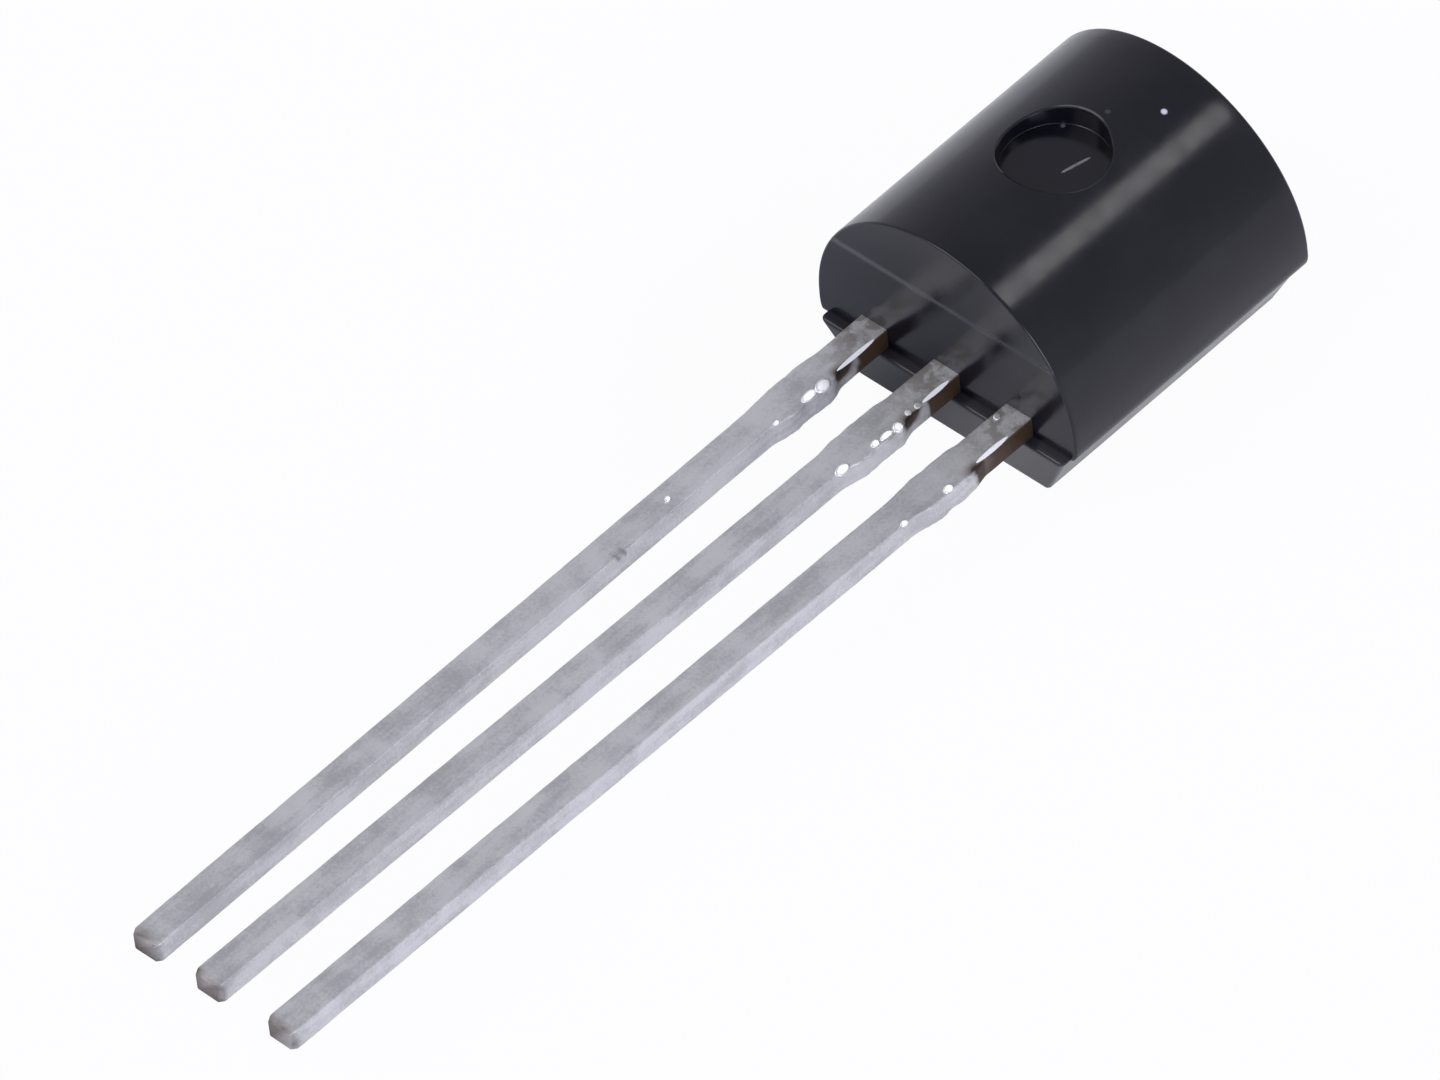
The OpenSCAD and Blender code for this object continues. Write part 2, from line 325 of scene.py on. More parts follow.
def sheared_blade(tree, size, place, out, shifted):
    """The strip with its ragged stubs and its rounded tip, sprung a little to one side outside the body."""
    x, y, z = add(tree, "ShaderNodeSeparateXYZ", None, {"Vector": place}).outputs
    half = times(tree, size["Width"], 0.5)
    rise_end = plus(tree, size["Stub start"], size["Stub rise"])
    fall_start = plus(tree, rise_end, size["Stub flat"])
    fall_end = plus(tree, fall_start, size["Stub fall"])
    stub = times(tree, ramp_between(tree, out, size["Stub start"], rise_end),
                 ramp_between(tree, out, fall_start, fall_end, start=1.0, end=0.0))
    torn = minus(tree, noise_at(tree, shifted, scale=5200), 0.5)
    proud = times(tree, stub, size["Stub proud"], plus(tree, 0.85, times(tree, torn, 0.9)))
    to_right = calc(tree, "DIVIDE", x, half)
    proud = times(tree, proud, plus(tree, 0.8, times(tree, to_right, 0.25)))
    widened = times(tree, x, plus(tree, 1.0, calc(tree, "DIVIDE", proud, half)))

    tip_start = minus(tree, size["Length"], 0.2 * MM)
    off_tip = ramp_between(tree, out, tip_start, size["Length"], start=1.0, end=0.0)
    free = times(tree, ramp_between(tree, out, low=0.05 * MM, high=0.3 * MM), off_tip)
    wander = times(tree, free, size["Raggedness"])
    sway = times(tree, minus(tree, noise_at(tree, shifted, scale=2100, detail=3), 0.5), wander)
    swell = times(tree, minus(tree, noise_at(tree, shifted, scale=1700), 0.5), wander)
    at_tip = ramp_between(tree, out, minus(tree, size["Length"], size["Tip round"]), size["Length"])
    pinch = minus(tree, 1.0, times(tree, calc(tree, "POWER", at_tip, 3.0), TIP_PINCH))
    moved = vector_of(tree, times(tree, plus(tree, widened, sway), pinch), y,
                      times(tree, plus(tree, z, times(tree, swell, 0.5)), pinch))
    blade = add(tree, "GeometryNodeSetPosition", None,
                {"Geometry": swept_strip(tree, size).outputs[0], "Position": moved})

    outside = add(tree, "FunctionNodeCompare", {"operation": "GREATER_THAN"}, {0: out, 1: 0.0})
    turned = add(tree, "ShaderNodeVectorRotate", {"rotation_type": "Z_AXIS"},
                 {"Vector": place, "Angle": calc(tree, "RADIANS", size["Spring"])})
    return add(tree, "GeometryNodeSetPosition", None, {
        "Geometry": blade.outputs[0], "Selection": outside.outputs[0], "Position": turned.outputs[0]})


def anchored(tree, size, blade):
    """The blade with its post or paddle and its barb inside the body, pierced by the locking hole."""
    plate = add(tree, "GeometryNodeMeshCube", None, {
        "Size": vector_of(tree, size["Plate width"], size["Plate length"], size["Thickness"])})
    plate_y = plus(tree, size["Plate start"], times(tree, size["Plate length"], 0.5))
    plate = add(tree, "GeometryNodeTransform", None, {
        "Geometry": plate.outputs[0], "Translation": vector_of(tree, size["Plate offset"], plate_y)})
    barb_thickness = times(tree, size["Thickness"], BARB_THICKNESS_SHARE)
    barb = add(tree, "GeometryNodeMeshCube", None, {
        "Size": vector_of(tree, size["Barb width"], size["Barb length"], barb_thickness)})
    barb_y = plus(tree, size["Barb start"], times(tree, size["Barb length"], 0.5))
    barb = add(tree, "GeometryNodeTransform", None, {
        "Geometry": barb.outputs[0], "Translation": vector_of(tree, y=barb_y)})
    whole = add(tree, "GeometryNodeMeshBoolean", {"operation": "UNION", "solver": "EXACT"})
    for geometry in (blade, plate, barb):
        tree.links.new(geometry.outputs[0], whole.inputs[1])

    hole = add(tree, "GeometryNodeMeshCylinder", None, {
        "Vertices": HOLE_SIDES, "Radius": times(tree, size["Hole diameter"], 0.5),
        "Depth": HOLE_PUNCH_LENGTH * MM})
    hole_y = minus(tree, plus(tree, size["Plate start"], size["Plate length"]), size["Hole diameter"])
    hole = add(tree, "GeometryNodeTransform", None, {
        "Geometry": hole.outputs[0], "Translation": vector_of(tree, size["Plate offset"], hole_y)})
    pierced = add(tree, "GeometryNodeMeshBoolean", {"operation": "DIFFERENCE", "solver": "EXACT"},
                  {"Mesh 1": whole.outputs[0]})
    tree.links.new(hole.outputs[0], pierced.inputs[1])
    return pierced


def bare_metal_and_shade(tree, size, place, out, shifted):
    """How bare a point is, from 0 for tin and 1 for copper to 2 for painted shade in the notch beside the
    stub.
    """
    x, y, z = add(tree, "ShaderNodeSeparateXYZ", None, {"Vector": place}).outputs
    half = times(tree, size["Width"], 0.5)
    at_side = ramp_between(tree, x, times(tree, size["Width"], 0.44), times(tree, size["Width"], 0.48))
    patchy = times(tree, minus(tree, noise_at(tree, shifted, scale=7000), 0.5), BARE_PATCHINESS * MM)
    by_body = ramp_between(tree, plus(tree, out, patchy), minus(tree, size["Bare reach"], BARE_EDGE * MM),
                           size["Bare reach"], start=1.0, end=0.0)
    sheared = times(tree, at_side, by_body)

    # A dark spot in the notch beside the stub, where shade falls: painted shade, which raises the value up
    # to 2.
    notch_y = times(tree, minus(tree, NOTCH_FROM_BODY * MM, size["Notch place"]), NOTCH_STRETCH[1])
    notch_shade = vector_of(tree, half, notch_y, times(tree, size["Thickness"], NOTCH_HEIGHT_SHARE))
    squeezed = add(tree, "ShaderNodeVectorMath", {"operation": "MULTIPLY"}, {0: place, 1: NOTCH_STRETCH})
    notch_shade = ramp_between(tree, distance_between(tree, notch_shade, squeezed.outputs[0]),
                         low=NOTCH_CORE * MM, high=NOTCH_REACH * MM, start=NOTCH_SHADE_LEVEL, end=0.0)

    edge = vector_of(tree, half, y, times(tree, size["Thickness"], 0.5))
    on_edge = ramp_between(tree, distance_between(tree, place, edge),
                           low=SCUFF_CORE * MM, high=SCUFF_WIDTH * MM, start=SCUFF_SHARE, end=0.0)
    along = calc(tree, "ABSOLUTE", minus(tree, out, size["Scuff place"]))
    in_reach = ramp_between(tree, along, times(tree, size["Scuff reach"], 0.8), size["Scuff reach"],
                            start=1.0, end=0.0)
    broken = ramp_between(tree, noise_at(tree, shifted, scale=4500), low=0.42, high=0.52)
    band_mark = times(tree, on_edge, in_reach, broken)

    cut_end = ramp_between(tree, out, minus(tree, size["Length"], 0.14 * MM),
                           minus(tree, size["Length"], 0.03 * MM), start=0.0, end=CUT_END_BARE)
    # The cut end grows barer and darker towards its lower left rim: a painted shadow under the burr there.
    lower_rim_shadow = ramp_between(tree, plus(tree, z, x), low=-0.02 * MM, high=-0.3 * MM)
    cut_end = times(tree, cut_end, plus(tree, 1.0, lower_rim_shadow))
    near_tip = ramp_between(tree, out, minus(tree, size["Length"], 0.35 * MM), size["Length"],
                            start=0.0, end=CUT_END_BLOTCHES)
    blotches = ramp_between(tree, noise_at(tree, shifted, scale=6000), low=0.4, high=0.65)
    cut_end = plus(tree, cut_end, times(tree, near_tip, blotches))
    worn = calc(tree, "MAXIMUM", band_mark, cut_end)
    return calc(tree, "MAXIMUM", calc(tree, "MAXIMUM", sheared, notch_shade), worn)


def lead_tree(material):
    """The stamped lead, made at the origin, with its bareness as an attribute, then put in its row."""
    tree, size = new_tree("stamped_lead", (
        "Length", "Width", "Thickness", "Edge radius", "Stub start", "Stub rise", "Stub flat", "Stub fall",
        "Stub proud", "Raggedness", "Tip round", "Anchor depth", "Barb width", "Barb length", "Barb start",
        "Plate width", "Plate length", "Plate start", "Plate offset", "Hole diameter", "Bare reach",
        "Notch place", "Scuff place", "Scuff reach", "Across", "Lead end", "Middle height", "Spring",
        "Seed"))
    place = tree.nodes.new("GeometryNodeInputPosition").outputs[0]
    y = add(tree, "ShaderNodeSeparateXYZ", None, {"Vector": place}).outputs["Y"]
    out = times(tree, y, -1.0)
    shifted = add(tree, "ShaderNodeVectorMath", {"operation": "ADD"},
                  {0: place, 1: vector_of(tree, size["Seed"])}).outputs[0]
    whole = anchored(tree, size, sheared_blade(tree, size, place, out, shifted))
    marked = add(tree, "GeometryNodeStoreNamedAttribute", {"data_type": "FLOAT", "domain": "POINT"}, {
        "Geometry": whole.outputs[0], "Name": "bareness_and_shade", "Value": bare_metal_and_shade(tree, size, place, out, shifted)})
    set_down = add(tree, "GeometryNodeTransform", None, {
        "Geometry": marked.outputs[0],
        "Translation": vector_of(tree, size["Across"], size["Lead end"], size["Middle height"])})
    smooth = add(tree, "GeometryNodeSetShadeSmooth", None, {"Geometry": set_down.outputs[0]})
    real = add(tree, "GeometryNodeRealizeInstances", None, {"Geometry": smooth.outputs[0]})
    coated = add(tree, "GeometryNodeSetMaterial", None, {"Geometry": real.outputs[0], "Material": material})
    tree.links.new(coated.outputs[0], tree.nodes.new("NodeGroupOutput").inputs[0])
    return tree


lead_finish = tinned_copper()
stamped_lead = lead_tree(lead_finish)
same_on_all = {
    "Length": LEAD_LENGTH, "Width": LEAD_WIDTH, "Thickness": LEAD_THICKNESS,
    "Edge radius": LEAD_EDGE_RADIUS, "Raggedness": RAGGEDNESS, "Tip round": TIP_ROUND,
    "Stub start": STUB_START, "Stub rise": STUB_RISE, "Stub flat": STUB_FLAT, "Stub fall": STUB_FALL,
    "Stub proud": STUB_PROUD, "Anchor depth": ANCHOR_DEPTH, "Hole diameter": LOCKING_HOLE,
    "Barb width": BARB_WIDTH, "Barb length": BARB_LENGTH, "Barb start": BARB_START,
    "Lead end": LEAD_END_Y, "Middle height": LEAD_MIDDLE_Z}
paddle = {"Plate width": PADDLE_WIDTH, "Plate length": PADDLE_LENGTH, "Plate start": PADDLE_START,
          "Plate offset": 0.0}
for index, node in enumerate(("left_lead", "middle_lead", "right_lead")):
    side = index - 1
    post = {"Plate width": POST_WIDTH, "Plate length": POST_LENGTH, "Plate start": POST_START,
            "Plate offset": side * POST_OUTWARD}
    sizes = {**same_on_all, **(post if side else paddle), "Bare reach": BARE_REACH[index],
             "Notch place": NOTCH_PLACE[index], "Scuff place": SCUFF_PLACE[index],
             "Scuff reach": SCUFF_REACH[index], "Across": side * LEAD_PITCH, "Seed": 13 * (index + 1)}
    values = {name: size * MM for name, size in sizes.items()}
    values["Spring"] = LEAD_SPRING[index]
    lead = grown(node + "_tinned", stamped_lead, values, lead_finish)
    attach(lead, "root")
    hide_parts(node)

# ---- Solder beads ----
# Where the dam bar was sheared off, the plating has gathered in a few smooth flat drops along the upper
# right edge of each lead, and in a bright burr between them and the body. Each is listed by its lead, its
# distance from the body, how far in from the right and down from the top it lies, and its half sizes.

BEAD_LEAN = math.radians(29)
BEAD_SQUARENESS = 6.0
BEAD_RISE_SHARE = 0.4
BEAD_SIDES = 24
BEAD_LEVELS = 12
BEADS_ON_STUB = (1.1, 2.0)
BEAD_OUT_ON_STUB = 0.6 * STUB_PROUD
BEAD_OUT = 0.01
BURR_HALF_LENGTH = 0.2
BEADS = (
    (0, 0.62, 0.03, 0.00, 0.36, 0.030), (0, 1.29, 0.03, 0.00, 0.13, 0.085),
    (0, 1.53, 0.05, 0.00, 0.14, 0.065), (0, 2.15, 0.02, 0.00, 0.05, 0.035),
    (0, 4.016, 0.20, -0.015, 0.045, 0.040),
    (1, 0.45, 0.04, 0.00, 0.25, 0.032), (1, 0.78, 0.05, 0.00, 0.05, 0.040),
    (1, 0.95, 0.06, 0.00, 0.05, 0.045), (1, 1.22, 0.02, 0.00, 0.08, 0.075),
    (1, 1.42, 0.04, 0.00, 0.11, 0.050), (1, 1.62, 0.05, 0.00, 0.07, 0.055),
    (1, 2.225, 0.03, 0.00, 0.12, 0.070),
    (2, 0.30, 0.38, -0.01, 0.05, 0.045), (2, 0.75, 0.04, 0.00, 0.30, 0.032),
    (2, 1.62, 0.04, 0.00, 0.08, 0.060), (2, 2.42, 0.03, 0.00, 0.06, 0.045))


def mesh_object(name, points, faces):
    """An object made from points in millimetres."""
    mesh = bpy.data.meshes.new(name)
    mesh.from_pydata([Vector(point) * MM for point in points], [], faces)
    made = bpy.data.objects.new(name, mesh)
    scene.collection.objects.link(made)
    return made


def loft(name, rings, ladder=False):
    """A closed skin through rings of points. Its ends are single faces, or rungs from side to side."""
    count = len(rings[0])
    faces = []
    for row in range(len(rings) - 1):
        for i in range(count):
            j = (i + 1) % count
            faces.append((row * count + i, row * count + j, (row + 1) * count + j, (row + 1) * count + i))
    for start, turned in ((0, True), ((len(rings) - 1) * count, False)):
        rungs = [tuple(range(start, start + count))]
        if ladder:
            rungs = [(start + i, start + i + 1, start + count - 2 - i, start + count - 1 - i)
                     for i in range(count // 2)]
            rungs = [tuple(dict.fromkeys(rung)) for rung in rungs]
        faces += [rung[::-1] if turned else rung for rung in rungs if len(rung) > 2]
    return mesh_object(name, [point for ring in rings for point in ring], faces)


def swollen(share):
    """Sine of a turn from -1 to 1, squared off so that a drop is flatter on top and fuller at its rim."""
    return math.copysign(abs(share) ** (2 / BEAD_SQUARENESS), share)


def bead(name, index, distance, inset, drop, half_length, half_width):
    """One low drop on a lead."""
    spring = math.radians(LEAD_SPRING[index])
    on_stub = BEADS_ON_STUB[0] < distance < BEADS_ON_STUB[1]
    edge_x = LEAD_WIDTH / 2 + (BEAD_OUT_ON_STUB if on_stub else BEAD_OUT) - inset
    top_z = LEAD_THICKNESS / 2 - drop
    rings = []
    for level in range(1 - BEAD_LEVELS, BEAD_LEVELS):
        turn = math.pi / 2 * level / BEAD_LEVELS
        rise = half_width * BEAD_RISE_SHARE * swollen(math.sin(turn))
        reach = swollen(math.cos(turn))
        ring = []
        for k in range(BEAD_SIDES):
            across = half_width * reach * math.cos(math.tau * k / BEAD_SIDES)
            x = edge_x + across * math.cos(BEAD_LEAN) + rise * math.sin(BEAD_LEAN)
            y = half_length * reach * math.sin(math.tau * k / BEAD_SIDES) - distance
            z = top_z - across * math.sin(BEAD_LEAN) + rise * math.cos(BEAD_LEAN)
            ring.append(((index - 1) * LEAD_PITCH + x * math.cos(spring) - y * math.sin(spring),
                         LEAD_END_Y + x * math.sin(spring) + y * math.cos(spring), LEAD_MIDDLE_Z + z))
        rings.append(ring)
    return loft(name, rings)


bead_finish = bright_tin("bright_tin", metallic=0.8, roughness=0.32)
# The burr is pale and nearly matt: a painted highlight, bright where the lamp's reflection does not reach
# it.
burr_painted_highlight = bright_tin("torn_tin_painted_highlight", metallic=0.15, roughness=0.5)
for number, (index, distance, inset, drop, half_length, half_width) in enumerate(BEADS, start=1):
    solder = bead("solder_bead_" + str(number), index, distance, inset, drop, half_length, half_width)
    solder.data.materials.append(burr_painted_highlight if half_length > BURR_HALF_LENGTH else bead_finish)
    solder.data.shade_smooth()
    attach(solder, "root")

# ---- Chip, die attach and bond wires ----
# A silicon chip is glued to the paddle with silver-filled epoxy, and gold wires loop from its pads to the
# posts and the paddle. The body is then moulded over them, so only a cut shows them.

SILICON = (0.10, 0.105, 0.13)
SILICON_WORKED = (0.22, 0.19, 0.24)
SILVER_EPOXY = (0.48, 0.48, 0.47)
SILVER_EPOXY_DARK = (0.26, 0.26, 0.25)
GOLD = (0.85, 0.60, 0.25)
GOLD_DULL = (0.70, 0.48, 0.20)
MOTTLED_GLOSS = 0.15


def inner_finish(name, first, second, scale, metallic, roughness):
    """A finish mottled between two colours, for what is moulded in."""
    material, tree, shader, place = new_material(name)
    mottle = noise_at(tree, place, scale, detail=3, roughness=0.6)
    colour = blend(tree, ramp_between(tree, mottle, low=0.4, high=0.6), first, second)
    tree.links.new(colour, shader.inputs["Base Color"])
    dulled = ramp_between(tree, mottle, low=0.3, high=0.7, start=roughness, end=roughness + MOTTLED_GLOSS)
    tree.links.new(dulled, shader.inputs["Roughness"])
    shader.inputs["Metallic"].default_value = metallic
    return material


silicon = inner_finish("silicon_chip", SILICON, SILICON_WORKED, scale=9000, metallic=0.6, roughness=0.15)
silver_epoxy = inner_finish(
    "silver_epoxy", SILVER_EPOXY, SILVER_EPOXY_DARK, scale=20000, metallic=0.7, roughness=0.40)
gold = inner_finish("bond_gold", GOLD, GOLD_DULL, scale=8000, metallic=1.0, roughness=0.20)
for node, material in (("die", silicon), ("die_attach", silver_epoxy), ("left_wire", gold),
                       ("right_wire", gold), ("paddle_wire", gold)):
    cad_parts[node].data.materials.clear()
    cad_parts[node].data.materials.append(material)

# ---- Body ----
# Black epoxy moulded round the lead frame in two halves that meet at the underside of the leads. The round
# half's lead end has a faint crease where its draft changes, and an ejector pin has left its recess on the
# crown. The flat half is tapered and stands a little past the round half at the lead end.

BODY_WIDTH = 4.52
BODY_LENGTH = 4.48
BODY_DEPTH = 3.44
PARTING_Z = 0.88
FLAT_HALF_WIDTH = 4.3
FLAT_FACE_WIDTH = 3.35
LEAD_END_STEP = 0.2
FLAT_HALF_DRAFT = math.radians(10)
CREASE_Z = 2.34
CREASE_DRAFT = math.radians(1.5)
CREASE_STEP = 0.011
CREASE_STEP_HEIGHT = 0.012
CREASE_HIGHLIGHT_HEIGHT = 0.075
NEAR_EDGE_RADIUS = 0.03
PARTING_EDGE_INSET = 0.08
PARTING_EDGE_INSET_LEFT = 0.04
PARTING_EDGE_HEIGHT = 0.22
FAR_EDGE_RADIUS = 0.05
FLAT_EDGE_RADIUS = 0.035
FLAT_RIM_RADIUS = 0.05
FLAT_CORNER_RADIUS = 0.06
FLAT_CORNER_GROWTH = 0.03
SHARP_EDGE = math.radians(24)
RUNG_ANGLE = 1.5
RUNGS_BELOW_CREASE = range(20)
RUNGS_AT_CREASE = range(-2, 7)
RUNGS_ABOVE_CREASE = range(22, 61)
PARTING_EDGE_STEPS = 8
CORNER_STEPS = 12
SPAN_STEPS = 24
SPAN_START = 0.06
SPAN_SHORTFALL = 0.3
FLAT_HALF_LEVELS = (0.08, 0.2, 0.4, 0.6, 0.8, 0.9)
EJECTOR_RADIUS = 0.75
EJECTOR_DEPTH = 0.35
EJECTOR_FROM_END = 2.27
EJECTOR_SIDES = 96
EPOXY = (0.0030, 0.0030, 0.0065)
EPOXY_PALE = (0.0060, 0.0058, 0.0100)
EPOXY_DUST_AND_SHEEN = (0.055, 0.055, 0.064)
EPOXY_IOR = 1.45
FACE_SKIN = 0.02
DUST_HEIGHT = 0.05
DUST_SHARE = 0.35
SPECK = (0.62, 0.64, 0.72)
PALE_SPECKS = (((0.640, 1.542, 3.347), 0.055, 0.9), ((0.129, 1.029, 3.436), 0.05, 0.05),
               ((-0.401, 0.712, 3.11), 0.05, 0.12), ((-1.60, -1.2, 2.78), 0.035, 0.05))

round_radius = BODY_WIDTH / 2
round_z = BODY_DEPTH - round_radius
far_end_y = LEAD_END_Y + BODY_LENGTH


def carve(base, other, operation):
    """Joins or cuts with another closed piece, which is used up."""
    modifier = base.modifiers.new("carve", "BOOLEAN")
    modifier.operation = operation
    modifier.solver = "EXACT"
    modifier.object = other
    bpy.context.view_layer.update()
    mesh = bpy.data.meshes.new_from_object(base.evaluated_get(bpy.context.evaluated_depsgraph_get()))
    base.modifiers.remove(modifier)
    base.data = mesh
    bpy.data.objects.remove(other)


def quarter_turn(radius, steps=5):
    """Inset and rise of a rounded edge, from its start on the end face to its finish on the side."""
    turns = [math.pi / 2 * k / steps for k in range(steps + 1)]
    return [(radius * (1 - math.sin(turn)), radius * (1 - math.cos(turn))) for turn in turns]


def d_ring(inset, y):
    """Outline of the round half with straight walls below, and rungs closer together at the crease."""
    radius = round_radius - inset
    crease = [math.degrees(math.asin((CREASE_Z + CREASE_STEP_HEIGHT * k / 4 - round_z) / radius))
              for k in RUNGS_AT_CREASE]
    turns = [RUNG_ANGLE * k for k in RUNGS_BELOW_CREASE] + crease
    turns += [RUNG_ANGLE * k for k in RUNGS_ABOVE_CREASE]
    turns += [180 - turn for turn in turns[-2::-1]]
    turns = [math.radians(turn) for turn in turns]
    ring = [(radius * math.cos(turn), y, round_z + radius * math.sin(turn)) for turn in turns]
    falls = [math.radians(90 - 90 * step / PARTING_EDGE_STEPS) for step in range(PARTING_EDGE_STEPS + 1)]
    feet = [[(side * (radius - most * (1 - math.cos(turn))), y,
              PARTING_Z + PARTING_EDGE_HEIGHT * (1 - math.sin(turn))) for turn in falls]
            for side, most in ((1, PARTING_EDGE_INSET), (-1, PARTING_EDGE_INSET_LEFT))]
    return feet[0] + ring + feet[1][::-1]


def crease_lean(x, z):
    """How far the lead end stands out at a height: a soft step at the crease, then a steady draft."""
    below = min(1.0, max(0.0, (CREASE_Z + CREASE_STEP_HEIGHT - z) / CREASE_STEP_HEIGHT))
    step = CREASE_STEP * (0.8 - 0.3 * x / round_radius) * below * below * (3 - 2 * below)
    return step + math.tan(CREASE_DRAFT) * max(0.0, CREASE_Z - z)


def round_half():
    """The round half, with its lead end leaning out below the crease."""
    near = [d_ring(inset, LEAD_END_Y + rise) for inset, rise in quarter_turn(NEAR_EDGE_RADIUS)]
    far = [d_ring(inset, far_end_y - rise) for inset, rise in quarter_turn(FAR_EDGE_RADIUS)][::-1]
    near = [[(x, y - crease_lean(x, z), z) for x, y, z in ring] for ring in near]
    span = [LEAD_END_Y + SPAN_START + (BODY_LENGTH - SPAN_SHORTFALL) * k / SPAN_STEPS
            for k in range(SPAN_STEPS + 1)]
    return loft("round_half", near + [d_ring(0.0, y) for y in span] + far, ladder=True)


def flat_half():
    """The tapered half: rounded rectangles from the flat face up to the parting plane."""
    rings = []
    levels = quarter_turn(FLAT_EDGE_RADIUS)
    levels += [(0.0, PARTING_Z * share) for share in FLAT_HALF_LEVELS]
    levels += [(inset, PARTING_Z - rise) for inset, rise in quarter_turn(FLAT_RIM_RADIUS)[::-1]]
    for inset, z in levels:
        half_width = (FLAT_FACE_WIDTH + (FLAT_HALF_WIDTH - FLAT_FACE_WIDTH) * z / PARTING_Z) / 2 - inset
        lean = math.tan(FLAT_HALF_DRAFT) * (PARTING_Z - z) + inset
        near_y = LEAD_END_Y - LEAD_END_STEP + lean
        far_y = far_end_y - lean
        radius = FLAT_CORNER_RADIUS + FLAT_CORNER_GROWTH * z / PARTING_Z - inset
        ring = []
        for side, end, start in ((1, far_y, 0), (-1, far_y, 90), (-1, near_y, 180), (1, near_y, 270)):
            inward = -radius if end == far_y else radius
            for k in range(CORNER_STEPS + 1):
                turn = math.radians(start + 90 * k / CORNER_STEPS)
                ring.append((side * (half_width - radius) + radius * math.cos(turn),
                             end + inward + radius * math.sin(turn), z))
        rings.append(ring)
    return loft("flat_half", rings)


def crown_z(x):
    """Height of the round half's surface."""
    return round_z + math.sqrt(round_radius ** 2 - x ** 2)


def ejector_cutter():
    """The pin's recess: each ring's share of its radius, and its height over the floor or the crown."""
    floor_z = BODY_DEPTH - EJECTOR_DEPTH
    over_floor = ((0.99, 0.0), (1.0, 0.008))
    over_crown = ((1.0, -0.05), (1.008, -0.026), (1.024, -0.010), (1.045, -0.001), (1.08, 0.02))
    lid = (1.08, EJECTOR_DEPTH + 0.1)
    turns = [math.tau * k / EJECTOR_SIDES for k in range(EJECTOR_SIDES)]

    def ring(share, height):
        return [(EJECTOR_RADIUS * share * math.cos(turn),
                 LEAD_END_Y + EJECTOR_FROM_END + EJECTOR_RADIUS * share * math.sin(turn),
                 height(EJECTOR_RADIUS * share * math.cos(turn))) for turn in turns]

    rings = [ring(share, lambda x: floor_z + rise) for share, rise in over_floor]
    rings += [ring(share, lambda x: crown_z(x) + rise) for share, rise in over_crown]
    rings.append(ring(lid[0], lambda x: floor_z + lid[1]))
    return loft("ejector_cutter", rings)


def moulded_epoxy():
    """Satin black moulding compound: fine eroded grain, faint cloudiness, a painted highlight along the
    crease, dust and a few pale specks.
    """
    material, tree, shader, place = new_material("moulded_epoxy")
    cloud = noise_at(tree, place, scale=900, detail=4, roughness=0.6)
    grain = noise_at(tree, place, scale=15000, detail=3, roughness=0.55)
    swell = noise_at(tree, place, scale=3200)
    base = blend(tree, ramp_between(tree, cloud, low=0.40, high=0.68), EPOXY, EPOXY_PALE)
    x, y, z = add(tree, "ShaderNodeSeparateXYZ", None, {"Vector": place}).outputs
    lead_end = ramp_between(tree, y, LEAD_END_Y * MM, (LEAD_END_Y + FACE_SKIN) * MM, start=1.0, end=0.0)
    # A pale band along the crease on the lead end, strongest at the left and fading to the right: a painted
    # highlight.
    off_crease = calc(tree, "ABSOLUTE", minus(tree, z, CREASE_Z * MM))
    band_mark = ramp_between(tree, off_crease, low=0.0, high=CREASE_HIGHLIGHT_HEIGHT * MM, start=1.0, end=0.0)
    to_right = ramp_between(tree, x, -round_radius * MM, 0.6 * round_radius * MM, start=1.0, end=0.40)
    base = blend(tree, times(tree, band_mark, lead_end, to_right), base, EPOXY_DUST_AND_SHEEN)
    off_parting = calc(tree, "ABSOLUTE", minus(tree, z, PARTING_Z * MM))
    dust = ramp_between(tree, off_parting, low=0.0, high=DUST_HEIGHT * MM, start=DUST_SHARE, end=0.0)
    base = blend(tree, times(tree, dust, lead_end), base, EPOXY_DUST_AND_SHEEN)
    for speck, radius, share in PALE_SPECKS:
        off_speck = distance_between(tree, place, Vector(speck) * MM)
        mark = ramp_between(tree, off_speck, radius * 0.5 * MM, radius * MM, start=share, end=0.0)
        base = blend(tree, mark, base, SPECK)
    tree.links.new(base, shader.inputs["Base Color"])
    shader.inputs["IOR"].default_value = EPOXY_IOR
    dulled = slope_between(tree, swell, low=0.3, high=0.7, start=0.15, end=0.21)
    tree.links.new(dulled, shader.inputs["Roughness"])
    eroded = plus(tree, times(tree, grain, 0.4), times(tree, swell, 0.6))
    set_relief(tree, shader, eroded, strength=0.25, distance=0.004 * MM)
    return material


body = round_half()
carve(body, flat_half(), "UNION")
carve(body, ejector_cutter(), "DIFFERENCE")
body.name = "body_moulding"
body.data.materials.clear()
body.data.materials.append(moulded_epoxy())
body.data.shade_smooth()
body.data.set_sharp_from_angle(angle=SHARP_EDGE)
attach(body, "root")
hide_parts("body")

# ---- Pin witness ----
# The worn face of the ejector pin has left one short raised line on the floor of its recess. It is part of
# the moulding, and its pale colour is a painted highlight.

WITNESS_FROM = Vector((0.152, 0.073))
WITNESS_TO = Vector((0.266, 0.521))
WITNESS_ACROSS = Vector((0.97, -0.25))
WITNESS_WIDTH = 0.050
WITNESS_HEIGHT = 0.022
WITNESS_END_SHARE = 0.25
WITNESS_SIDES = 12
WITNESS_STATIONS = 12
WITNESS_HIGHLIGHT_GREY = (0.26, 0.26, 0.28)


def pale_epoxy_painted_highlight():
    """Epoxy coloured pale and dull: a painted highlight on the raised line."""
    material, tree, shader, place = new_material("pale_epoxy_painted_highlight")
    pale_mottle = noise_at(tree, place, scale=12000, detail=3)
    tree.links.new(blend(tree, pale_mottle, WITNESS_HIGHLIGHT_GREY, EPOXY_DUST_AND_SHEEN), shader.inputs["Base Color"])
    shader.inputs["Roughness"].default_value = 0.5
    return material


